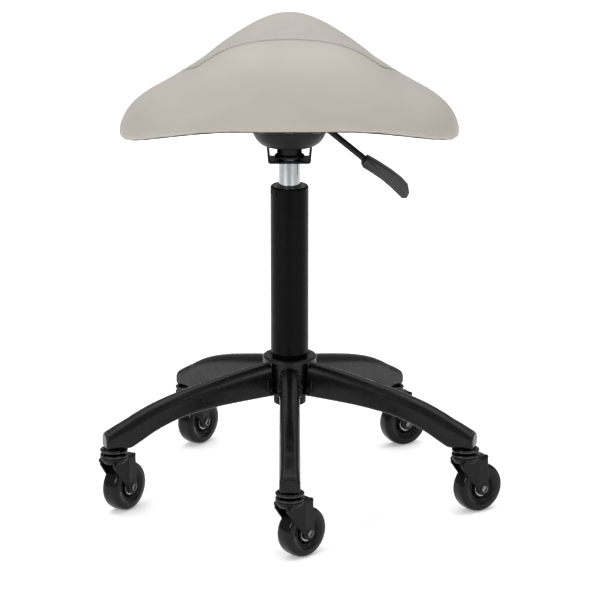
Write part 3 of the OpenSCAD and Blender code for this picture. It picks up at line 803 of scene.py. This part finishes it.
def make_staples():
    """Crown staples through the dust cover's hem."""
    count = 44
    ring = edge_ring(0.93, -0.25, 12)
    parts = []
    for i in range(count):
        j = round(i * len(ring) / count)
        a, b = Vector(ring[j]), Vector(ring[(j + 3) % len(ring)])
        along = (b - a).normalized()
        down = Vector((0, 0, -1))
        half, radius = 5.0, 0.35 * MM
        shape = ((-half, -1.5), (-half, 0.25), (0.6 - half, 0.55),
                 (half - 0.6, 0.55), (half, 0.25), (half, -1.5))
        route = [a + along * (far * MM) + down * (low * MM) for far, low in shape]
        side = along.cross(down).normalized()
        rings = []
        for k, p in enumerate(route):
            flow = (route[min(k + 1, 5)] - route[max(k - 1, 0)]).normalized()
            other = side.cross(flow).normalized()
            rings.append([p + (side * math.cos(t) * 1.4 + other * math.sin(t)) * radius
                          for t in (2 * math.pi * m / 6 for m in range(6))])
        parts.append(skinned(rings))
    add_piece("cover_staples", joined(parts), "zinc_steel", "seat", 50, ("staples",))


# ---------- mechanism under the seat ----------

PLATE_TOP = 0.5292
BOWL_FLAT, BOWL_WIDE, BOWL_TALL, BOWL_LOW = 0.029, 0.022, 0.036, 0.4785
SOCKET_R = 0.0163
LEVER_PIVOT = Vector((0.036, 0, 0.5105))
LEVER_FALL = math.radians(39.5)
LEVER_R = 0.00425


def make_dish():
    """The pressed mounting plate: a flat flange that runs in a smooth bend down into a round bowl."""
    thick = 2.6 * MM
    flange = PLATE_TOP - 3 * MM
    half_w, half_l = 0.058, 0.085
    bend = 5 * MM
    rim = BOWL_FLAT + BOWL_WIDE
    outer = [(SOCKET_R, BOWL_LOW), (BOWL_FLAT - 0.004, BOWL_LOW)]
    outer += [(BOWL_FLAT + BOWL_WIDE * math.sin(a), BOWL_LOW + BOWL_TALL * (1 - math.cos(a)))
              for a in np.radians(np.arange(4, 91, 5))]
    outer.append((rim, flange - bend))
    outer += [(rim + bend * (1 - math.cos(a)), flange - bend + bend * math.sin(a))
              for a in np.radians((25, 50, 75, 90))]
    segments = 128
    angles = [2 * math.pi * k / segments for k in range(segments)]

    def edge(angle, shrink):
        """Distance from the middle to the plate's rounded rectangular edge."""
        w, l = half_w - shrink, half_l - shrink
        c, s = abs(math.cos(angle)), abs(math.sin(angle))
        n = 9.0
        return ((c / w) ** n + (s / l) ** n) ** (-1 / n)

    def ring_of(radius, z):
        """A ring at height z whose radius may differ from angle to angle."""
        return [(radius(a) * math.cos(a), radius(a) * math.sin(a), z) for a in angles]

    rings = [ring_of(lambda a, r=r: r, z) for r, z in outer]
    last = outer[-1][0]
    for share in (0.35, 0.7, 0.93):
        rings.append(ring_of(lambda a, share=share: last + (edge(a, 0) - last) * share, flange))
    round_off = 0.6 * MM
    for shrink, z in ((round_off, flange), (0, flange + round_off),
                      (0, PLATE_TOP - round_off), (round_off, PLATE_TOP)):
        rings.append(ring_of(lambda a, shrink=shrink: edge(a, shrink), z))
    for r, z in reversed(outer):
        inner = max(SOCKET_R, r - thick * (0.0 if z <= BOWL_LOW else 0.9))
        lift = thick if z <= BOWL_LOW + 0.002 else thick * 0.35
        lift = PLATE_TOP - z if z >= flange - 0.5 * bend else lift
        rings.append(ring_of(lambda a, inner=inner: inner, z + lift))
    points, faces = skinned(rings, close_start=False, close_end=False)
    end = (len(rings) - 1) * segments
    for i in range(segments):
        n = (i + 1) % segments
        faces.append([end + i, end + n, n, i])
    dish = solid_piece("mounting_dish", (points, faces), "mechanism_black", "seat", 40, ("dish_plate",))
    slot = slab(in_metres(rounded([(-7, -17.5), (7, -17.5), (7, 17.5), (-7, 17.5)], 4)), 0, 0.03)
    onto = Matrix.Translation((0.036, 0, 0.4965)) @ tipped(math.pi / 2, "Z") @ tipped(math.pi / 2, "X")
    cut_away(dish, moved(slot, onto))
    smooth_shade(dish.data, 40)


def cut_away(obj, part):
    """Cuts a closed tool shape out of the object."""
    tool = outward(new_object("tool", part))
    mesh = tool.data
    cut = obj.modifiers.new("cut", "BOOLEAN")
    cut.operation = "DIFFERENCE"
    cut.solver = "EXACT"
    cut.object = tool
    bpy.context.view_layer.update()
    applied(obj)
    bpy.data.objects.remove(tool)
    bpy.data.meshes.remove(mesh)


def make_bracket():
    """The U bracket under the bowl: two walls that splay a little and a floor with the lift's bore."""
    low, top, half, splay, thick = 457.6, 480.6, 27.6, 1.9, 2.5
    outline = [(-half - splay, top, 0), (-half, low, 4), (half, low, 4), (half + splay, top, 0),
               (half + splay - thick, top, 0), (half - thick, low + thick, 1.6),
               (thick - half, low + thick, 1.6), (thick - half - splay, top, 0)]
    walls = set_upright(slab(in_metres(rounded(outline, 1)), -20 * MM, 20 * MM))
    bracket = solid_piece("lift_bracket", walls, "mechanism_black", "seat", 35, ("u_bracket",))
    bore_r = LIFT_R + 0.3 * MM
    cut_away(bracket, turned([(0, 0.45), (bore_r, 0.45), (bore_r, 0.47), (0, 0.47)], 96, False))
    smooth_shade(bracket.data, 35)
    soften(bracket, 0.5 * MM, 2, 40)


# The paddle grip from the side: distance along the rod and height above its centre line, in mm.
GRIP_SIDE = [(80, 5.8, 1.5), (79, -7, 2), (84, -8.6, 2), (98, -6.9, 6), (113, -5.7, 8), (128, -6, 8),
             (149.5, -8, 2.5), (154, -3.5, 2), (152, 4, 3), (146, 9.2, 4), (134, 10.9, 6), (118, 10.6, 10),
             (98, 8.6, 6)]


def make_lever():
    """The lever's rod with its hub, and the moulded paddle grip on its end."""
    pivot = Matrix.Translation(LEVER_PIVOT)
    along = pivot @ tipped(LEVER_FALL, "Y")
    r = LEVER_R
    rod = turned([(0, 0.002), (r, 0.002), (r, 0.1265), (r - 0.001, 0.1275), (0, 0.1275)], 48, False)
    rod = moved(rod, along @ tipped(math.pi / 2, "Y"))
    barrel = turned(in_metres(rounded([(4.06, -8), (7, -8), (7, 8), (4.06, 8)], 0.6)), 48)
    hub = moved(barrel, pivot @ tipped(math.pi / 2, "X"))
    tongue = slab(in_metres(rounded([(-6, -6), (31, -6), (31, 6), (-6, 6)], 3)), 0.5076, 0.5126)
    arm = solid_piece("lever_arm", joined([rod, hub, tongue]), "lever_black", "lever", 35, ("lever_rod",))
    soften(arm, 0.4 * MM)

    side = rounded(GRIP_SIDE, 3, steps=5)
    count = len(side)
    width, edge = 12.5, 2.6
    middle = Vector((sum(p.x for p in side), sum(p.y for p in side))) / count
    rings = []
    shoulder = [(width - edge, 0), (width - 0.9, edge * 0.25), (width - 0.3, edge * 0.55), (width, edge)]
    for y, inset in [(-y, inset) for y, inset in shoulder[::-1]] + shoulder:
        ring = []
        for i, p in enumerate(side):
            flow = (side[(i + 1) % count] - side[i - 1]).normalized()
            normal = Vector((flow.y, -flow.x))
            if (p - middle).dot(normal) > 0:
                normal = -normal
            q = p + normal * inset
            ring.append((q.x * MM, y * MM, q.y * MM))
        rings.append(ring)
    solid_piece("paddle_grip", moved(skinned(rings), along), "grip_plastic", "lever", 50, ("lever_grip",))


# ---------- gas lift ----------

COLUMN_R = 0.025
COLUMN_TOP = 0.425
LIFT_R = 0.014
STAKES = (-131.6, -159.2, 48.4, 20.8)


def make_column():
    """The outer tube, with its tapered foot and the stake marks that hold the guide bush."""
    r, top = COLUMN_R / MM, COLUMN_TOP / MM
    profile = [(5.2, 129), (20.6, 129, 0.6), (21.4, 129.8, 0.6), (23.4, 195, 0), (23.4, 196.2, 0.4),
               (24.2, 198.2, 0.6), (r, 199.6, 0.8), (r, top - 1.9, 1.2), (r - 1.3, top, 0.5),
               (r - 2.1, top, 0.3), (r - 2.1, 203, 0.5), (21.4, 195, 0), (19.4, 132), (5.2, 132)]
    curve = in_metres(rounded(profile, 0.2, steps=3))
    dense = []
    for i, p in enumerate(curve):
        dense.append(p)
        ahead = curve[(i + 1) % len(curve)]
        if p.x > 0.0245 and ahead.x > 0.0245 and abs(ahead.y - p.y) > 0.05:
            low = COLUMN_TOP - 0.020
            dense += [Vector((COLUMN_R, low + 0.0009 * k)) for k in range(19)]
    points, faces = turned([(p.x, p.y) for p in dense], 192)
    marked = []
    for x, y, z in points:
        out = math.hypot(x, y)
        dent = 0.0
        if out > COLUMN_R - 0.0005:
            for angle in STAKES:
                a = math.radians(angle)
                across = COLUMN_R * math.remainder(math.atan2(y, x) - a, 2 * math.pi)
                far = math.hypot(across, (z - (COLUMN_TOP - 0.0065)) * 0.85)
                dent += 1.5 * MM * math.exp(-(far / (1.9 * MM)) ** 4)
                dent -= 0.25 * MM * math.exp(-((far - 3.2 * MM) / (0.9 * MM)) ** 2)
        marked.append((x * (1 - dent / max(out, 1e-6)), y * (1 - dent / max(out, 1e-6)), z))
    solid_piece("column_tube", (marked, faces), "column_black", "base", 30, ("outer_tube",),
                slot="frame_black")
    inner = LIFT_R / MM + 0.07
    bush = [(inner, top - 89), (r - 2.15, top - 89), (r - 2.15, top - 1.4, 0.4), (r - 3.2, top - 0.5, 0.6),
            (inner + 3.0, top - 0.5, 0.5), (inner + 2.4, top + 1.0, 0.6), (inner + 0.5, top + 1.2, 0.5),
            (inner, top + 0.4, 0.2)]
    sleeve = turned(in_metres(rounded(bush, 0.4, steps=3)), 128)
    solid_piece("column_bush", sleeve, "bush_plastic", "base", 30, ("guide_bush",))


def make_lift():
    """The chromed pressure tube, from its gland end up to the taper in its socket."""
    r = LIFT_R / MM
    profile = [(0, 160), (r - 2.2, 160, 1), (r, 162.4, 1.5), (r, 462.6, 0.4), (r - 0.12, 463.4, 0),
               (r - 1.0, 497, 0.8), (r - 2.2, 498, 0.6), (0, 498)]
    tube = turned(in_metres(rounded(profile, 0.4, closed=False)), 160, False)
    solid_piece("chrome_tube", tube, "chrome", "seat", 30, ("pressure_tube",))


# ---------- five-leg base ----------

# A leg's side outline in mm: distance from the column's axis, height of the underside, height of the top.
LEG_ROWS = [(18, 142.1, 189.2), (60, 138.7, 180.8), (105, 133.9, 170), (150, 124.9, 158), (185, 110.7, 146.2),
            (210, 96, 134.8), (222, 90, 128.2), (240, 90, 118.8), (253.5, 90, 111)]
LEG_HALF = 13.3
COLLAR_TOP, COLLAR_R, SKIRT_LOW = 0.195, 0.0357, 0.151


def leg_section(row, inset, sides=56):
    """One ring in mm round a leg: a round-shouldered arch above, flat walls and a nearly square underside."""
    s, low, high = row
    low, high = low + inset, high - inset
    w = LEG_HALF - inset
    middle, tall = (low + high) / 2, (high - low) / 2
    ring = []
    for k in range(sides):
        a = 2 * math.pi * (k + 0.5) / sides
        c, v = math.cos(a), math.sin(a)
        n = 2.6 if v > 0 else 5.0
        out = w * math.copysign(abs(c) ** (2 / n), c)
        ring.append((s, out, middle + tall * math.copysign(abs(v) ** (2 / n), v)))
    return ring


def make_legs():
    spine = [row for row in spline(LEG_ROWS, 6) if row[0] >= 25.5]
    spine = [(s, max(low, 90.0), high) for s, low, high in spine]
    reach, low, high = spine[-1]
    rings = [leg_section(row, 0) for row in spine[:-1]]
    for ahead, inset in ((-1.2, 0.0), (-0.3, 0.3), (0.5, 1.0), (0.9, 1.9), (1.0, 3.4)):
        rings.append(leg_section((reach + ahead, low, high), inset))
    tube = skinned([in_metres(ring) for ring in rings])
    for k, angle in enumerate(LEG_ANGLES, 1):
        solid_piece(f"leg_tube_{k}", moved(tube, turn_to(angle)), "frame_black", "base", 38, (f"leg_{k}",))


def make_hub():
    """The hub collar: a thick rolled top ring on a skirt with an arched window round each leg."""
    t, r, low = COLLAR_TOP / MM, COLLAR_R / MM, SKIRT_LOW / MM
    profile = [(25.6, t - 6.5, 0.4), (25.6, t - 1.8, 0.3), (27.4, t, 1.0), (r - 1.6, t, 1.5),
               (r, t - 1.8, 1.8), (r, low, 0.7), (r - 3, low, 0.7), (r - 3, t - 6.5, 1.0)]
    ring = turned(in_metres(rounded(profile, 0.5)), 240)
    collar = solid_piece("hub_collar_ring", ring, "frame_black", "base", 32, ("hub_collar",))
    half, top = 15.5, t - 4.5
    arch = [(-half, low - 2), (half, low - 2), (half, top - half)]
    arch += [(half * math.cos(a), top - half + half * math.sin(a))
             for a in np.radians(np.arange(7.5, 180, 7.5))]
    arch += [(-half, top - half)]
    points, faces = slab(in_metres(arch), -0.048, -0.029)
    window = [(x, y, -z) for x, y, z in points], faces
    cut_away(collar, joined([moved(window, turn_to(angle + 270) @ tipped(math.pi / 2, "X"))
                             for angle in LEG_ANGLES]))
    smooth_shade(collar.data, 32)
    soften(collar, 0.8 * MM, 3, 55)


def weld_bead(route, radius, seed):
    """A bead of weld along route: a thick line of overlapping ripples."""
    path = [Vector(p) for p in spline(route, 8)]
    random = np.random.default_rng(seed)
    rings, sides = [], 10
    for i, p in enumerate(path):
        flow = (path[min(i + 1, len(path) - 1)] - path[max(i - 1, 0)]).normalized()
        side = flow.cross(Vector((0.31, 0.52, 0.79))).normalized()
        other = flow.cross(side)
        taper = math.sin(math.pi * (i + 0.6) / (len(path) + 0.2)) ** 0.35
        size = radius * taper * (1 + 0.16 * math.sin(i * 2.1) + 0.10 * (random.random() - 0.5))
        rings.append([p + (side * math.cos(a) + other * math.sin(a)) * size
                      for a in (2 * math.pi * k / sides for k in range(sides))])
    return skinned(rings)


def make_welds():
    """Weld beads where each leg's walls meet the hub, ending in a blob under the skirt."""
    parts = []
    for n, angle in enumerate(LEG_ANGLES):
        for side in (-1, 1):
            y = side * (LEG_HALF + 0.9)
            route = [(34.5, y, 166), (34.3, y + 0.2 * side, 160), (34.2, y, 154),
                     (33.6, y - 0.2 * side, 149.5), (32.4, y - 1.2 * side, 145.6)]
            inner = [(27.0, side * 13.6, 150), (27.2, side * 13.5, 146.8), (30.5, side * 13.4, 144.4)]
            for path, radius, seed in ((route, 2.3, 1), (inner, 2.0, 5)):
                bent = [turn_to(angle) @ p for p in in_metres(path)]
                parts.append(weld_bead(bent, radius * MM, 10 * n + side + seed))
    solid_piece("hub_welds", joined(parts), "frame_black", "base", 70)


# ---------- casters ----------


def caster_place(k):
    """From a caster's own frame (X along the trail, the swivel's axis at the origin) to the stool's."""
    a = math.radians(LEG_ANGLES[k - 1])
    swivel = Matrix.Translation((STEM_CIRCLE * math.cos(a), STEM_CIRCLE * math.sin(a), 0))
    return swivel @ turn_to(TRAIL_ANGLES[k - 1])


def axle_place(k):
    """From a wheel's own frame, turned about Z with its middle at the origin, to the stool's."""
    return caster_place(k) @ Matrix.Translation((TRAIL, 0, AXLE_Z)) @ tipped(math.pi / 2, "X")


def make_stem_plates():
    """The plated stem, its shoulder plate under each leg, and the raceway cup below the plate."""
    profile = [(0, 76.5), (5.5, 76.5, 0.6), (5.5, 84.6, 0), (13.4, 85.0, 0.8), (15.8, 86.1, 0.6),
               (17.6, 86.3, 0.5), (18.4, 87.1, 0.7), (18.3, 88.6, 0.6), (16.6, 89.1, 0.3), (16.0, 89.85, 0.4),
               (5.6, 89.9, 0), (5.5, 103.4, 0.6), (0, 103.9)]
    plate = turned(in_metres(rounded(profile, 0.3, closed=False, steps=3)), 96, False)
    nut = slab(in_metres(hexagon(8.0)), 0.0766, 0.0789)
    parts = []
    for k in CASTERS:
        place = Matrix.Translation(caster_place(k).translation)
        parts += [moved(plate, place), moved(nut, place)]
    solid_piece("stem_plates", joined(parts), "race_steel", "base", 28, ("caster_stems",), slot="zinc_steel")


def hexagon(corner_r):
    """Corners of a hexagon, corner_r mm from its middle."""
    return [(corner_r * math.cos(a), corner_r * math.sin(a)) for a in (math.pi / 3 * k for k in range(6))]


def cheek_rings():
    """One fork cheek as rings from its top down, in mm: a flat plate that slopes back before a crease."""
    rows = [(79.6, 5.0, 25.0), (78.6, 1.0, 25.8), (76.4, -8.0, 26.0), (74.4, -15.0, 26.1), (69, -15.5, 26.3),
            (60, -9.2, 26.8), (50, -2.0, 27.4), (43, 3.4, 27.9), (38.5, 7.3, 28.2), (35, 10.2, 28.3),
            (30, 12.1, 27.9), (26.5, 14.9, 25.1), (24.8, 18.1, 21.9)]
    crease = 12.0
    rings = []
    for z, front, back in rows:
        turn = min(max(crease, front + 1.2), back - 2.5)
        slope = 3.6 * min(1, (turn - front) / 14)
        rings.append([(front + 0.3, -13.35 + slope, z), (front, -13.75 + slope, z),
                      (front + 0.1, -15.7 + slope, z), (turn - 0.8, -15.62, z), (turn + 0.1, -15.85, z),
                      (turn + 1.2, -15.7, z), (back - 0.7, -15.7, z), (back, -15.1, z), (back, -13.6, z),
                      (back - 0.3, -13.35, z)])
    return rings


def make_forks():
    """The fork: a hooded head, two creased cheeks with round axle bosses, and a raceway disc on top."""
    near = skinned([in_metres(ring) for ring in cheek_rings()])
    far = [(x, -y, z) for x, y, z in near[0]], [face[::-1] for face in near[1]]
    hood_side = rounded([(-13, 70.5), (-13, 75, 2), (4, 79.2, 2), (21.4, 80.2, 1.2), (26, 78.2, 1.2),
                         (26.1, 75.2)], 0.8)
    hood = set_upright(slab(in_metres(hood_side), -15.7 * MM, 15.7 * MM))
    boss = turned(in_metres(rounded([(0, 0), (9.0, 0, 0.4), (9.0, 1.7, 0.6), (8.2, 2.5, 0.6), (0, 2.5)],
                                    0.4, closed=False)), 56, False)
    bosses = []
    for side in (-1, 1):
        cheek_face = Matrix.Translation((TRAIL, side * 13.4 * MM, AXLE_Z))
        bosses.append(moved(boss, cheek_face @ tipped(-side * math.pi / 2, "X")))
    neck = turned(in_metres(rounded([
        (0, 71), (15.4, 71, 0.5), (17.4, 74.4, 1.2), (18.3, 77.4, 0.8), (18.3, 78.6, 0.6), (17.0, 79.3, 0.4),
        (0, 79.3)], 0.4, closed=False)), 80, False)
    disc = turned(in_metres(rounded([
        (0, 78.6), (15.6, 78.6), (17.6, 79.3, 0.8), (18.4, 80.3, 1.0), (18.4, 81.6, 1.0), (17.4, 82.8, 0.6),
        (14.4, 83.2, 0.6), (12.4, 84.0, 0.8), (6.0, 84.2), (0, 84.2)], 0.3, closed=False)), 96, False)
    body = joined([near, far, hood, *bosses, neck])
    for k in CASTERS:
        place = caster_place(k)
        fork = solid_piece(f"caster_fork_{k}", moved(body, place), "fork_black", f"caster_{k}", 30,
                           (f"fork_{k}",))
        soften(fork, 0.5 * MM, 2, 32)
        solid_piece(f"swivel_race_{k}", moved(disc, place), "race_steel", f"caster_{k}", 28,
                    slot="axle_steel")


def make_tyres():
    """The cast tyre: a broad round crown, nearly flat side walls and a small lip at the core."""
    profile = [(18.05, -9.6), (19.0, -10.6, 0.6), (20.4, -10.9, 0.8), (23.5, -11.9, 3)]
    crown = [(28.6 + 4.4 * math.cos(a) ** 0.8, 12.0 * math.copysign(abs(math.sin(a)) ** 0.72, a))
             for a in np.radians(np.linspace(-72, 72, 25))]
    profile += [(r, z, 0) for r, z in crown]
    profile += [(r, -z, *rest) for r, z, *rest in profile[3::-1]]
    ring = turned(in_metres(rounded(profile, 0.4, steps=3)), 144)
    for k in CASTERS:
        solid_piece(f"cast_tyre_{k}", moved(ring, axle_place(k)), "tyre", f"wheel_{k}", 40, (f"tyre_{k}",))


def make_bearings():
    """Two ball bearings to a wheel: bright races with a dark seal between them."""
    outer = rounded([(9.5, 4.2), (11, 4.2), (11, 11.2), (9.5, 11.2)], 0.25)
    inner = rounded([(4.1, 4.2), (6.1, 4.2), (6.1, 11.2), (4.1, 11.2)], 0.25)
    seal = rounded([(6.2, 4.9), (9.4, 4.9), (9.4, 10.6), (6.2, 10.6)], 0.15)
    races = joined([turned(in_metres(outer), 72), turned(in_metres(inner), 48)])
    seals = turned(in_metres(seal), 72)
    for k in CASTERS:
        axle = caster_place(k) @ Matrix.Translation((TRAIL, 0, AXLE_Z))
        ends = [axle @ tipped(side * math.pi / 2, "X") for side in (-1, 1)]
        solid_piece(f"bearing_races_{k}", joined([moved(races, end) for end in ends]), "bearing_steel",
                    f"wheel_{k}", 30, (f"bearings_{k}",))
        solid_piece(f"bearing_seals_{k}", joined([moved(seals, end) for end in ends]), "rubber",
                    f"wheel_{k}", 30)


def make_axles():
    """The axle bolt: a rimmed button head with a deep hexagonal socket, and a nut on the far cheek."""
    outside = 15.7
    bolt = turned(in_metres(rounded([
        (0, -outside - 3.6), (3.95, -outside - 3.6, 0.5), (3.95, outside), (4.6, outside, 0),
        (4.6, outside + 1.6, 0.4), (4.2, outside + 2.2, 0.3), (3.4, outside + 2.2, 0.2), (3.0, outside + 0.3),
        (0, outside + 0.3)], 0.3, closed=False)), 56, False)
    nut = slab(in_metres(hexagon(6.5)), (-outside - 3.5) * MM, -outside * MM)
    whole = joined([bolt, nut])
    for k in CASTERS:
        axle = solid_piece(f"axle_bolt_{k}", moved(whole, axle_place(k)), "axle_steel", f"caster_{k}", 30,
                           (f"axle_{k}",))
        soften(axle, 0.3 * MM, 2, 40)


# ---------- finishes of the CAD pieces that stay ----------

KEPT_FINISHES = {
    "seat_board": "plywood", "t_nuts": "zinc_steel", "seat_bolts": "zinc_steel", "seat_washers": "zinc_steel",
    "taper_socket": "mechanism_black", "lever_lugs": "mechanism_black",
    "pivot_pin": "zinc_steel", "release_pin": "zinc_steel", "rod_gland": "bush_plastic",
    "piston": "zinc_steel", "piston_rod": "chrome", "bump_stop": "rubber", "retaining_clip": "zinc_steel",
    "thrust_bearing": "bearing_steel", "hub_socket": "frame_black", "stem_sockets": "frame_black",
}


def finish_kept_nodes():
    """Gives every CAD node that stays its material, and rounds its edges a little."""
    named = dict(KEPT_FINISHES)
    for k in CASTERS:
        named[f"wheel_core_{k}"] = "core_plastic"
    for name, finish in named.items():
        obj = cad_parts[name]
        if obj.data.materials:
            for slot in obj.material_slots:
                slot.material = FINISHES[finish]
        else:
            obj.data.materials.append(FINISHES[finish])
        soften(obj, 0.35 * MM, 2, 40)


make_camera()
make_world()
for light in LIGHTS:
    make_light(*light)
make_floor(floor_finish())
make_seat()
make_dust_cover()
make_staples()
make_dish()
make_bracket()
make_lever()
make_column()
make_lift()
make_legs()
make_hub()
make_welds()
make_stem_plates()
make_forks()
make_tyres()
make_bearings()
make_axles()
finish_kept_nodes()
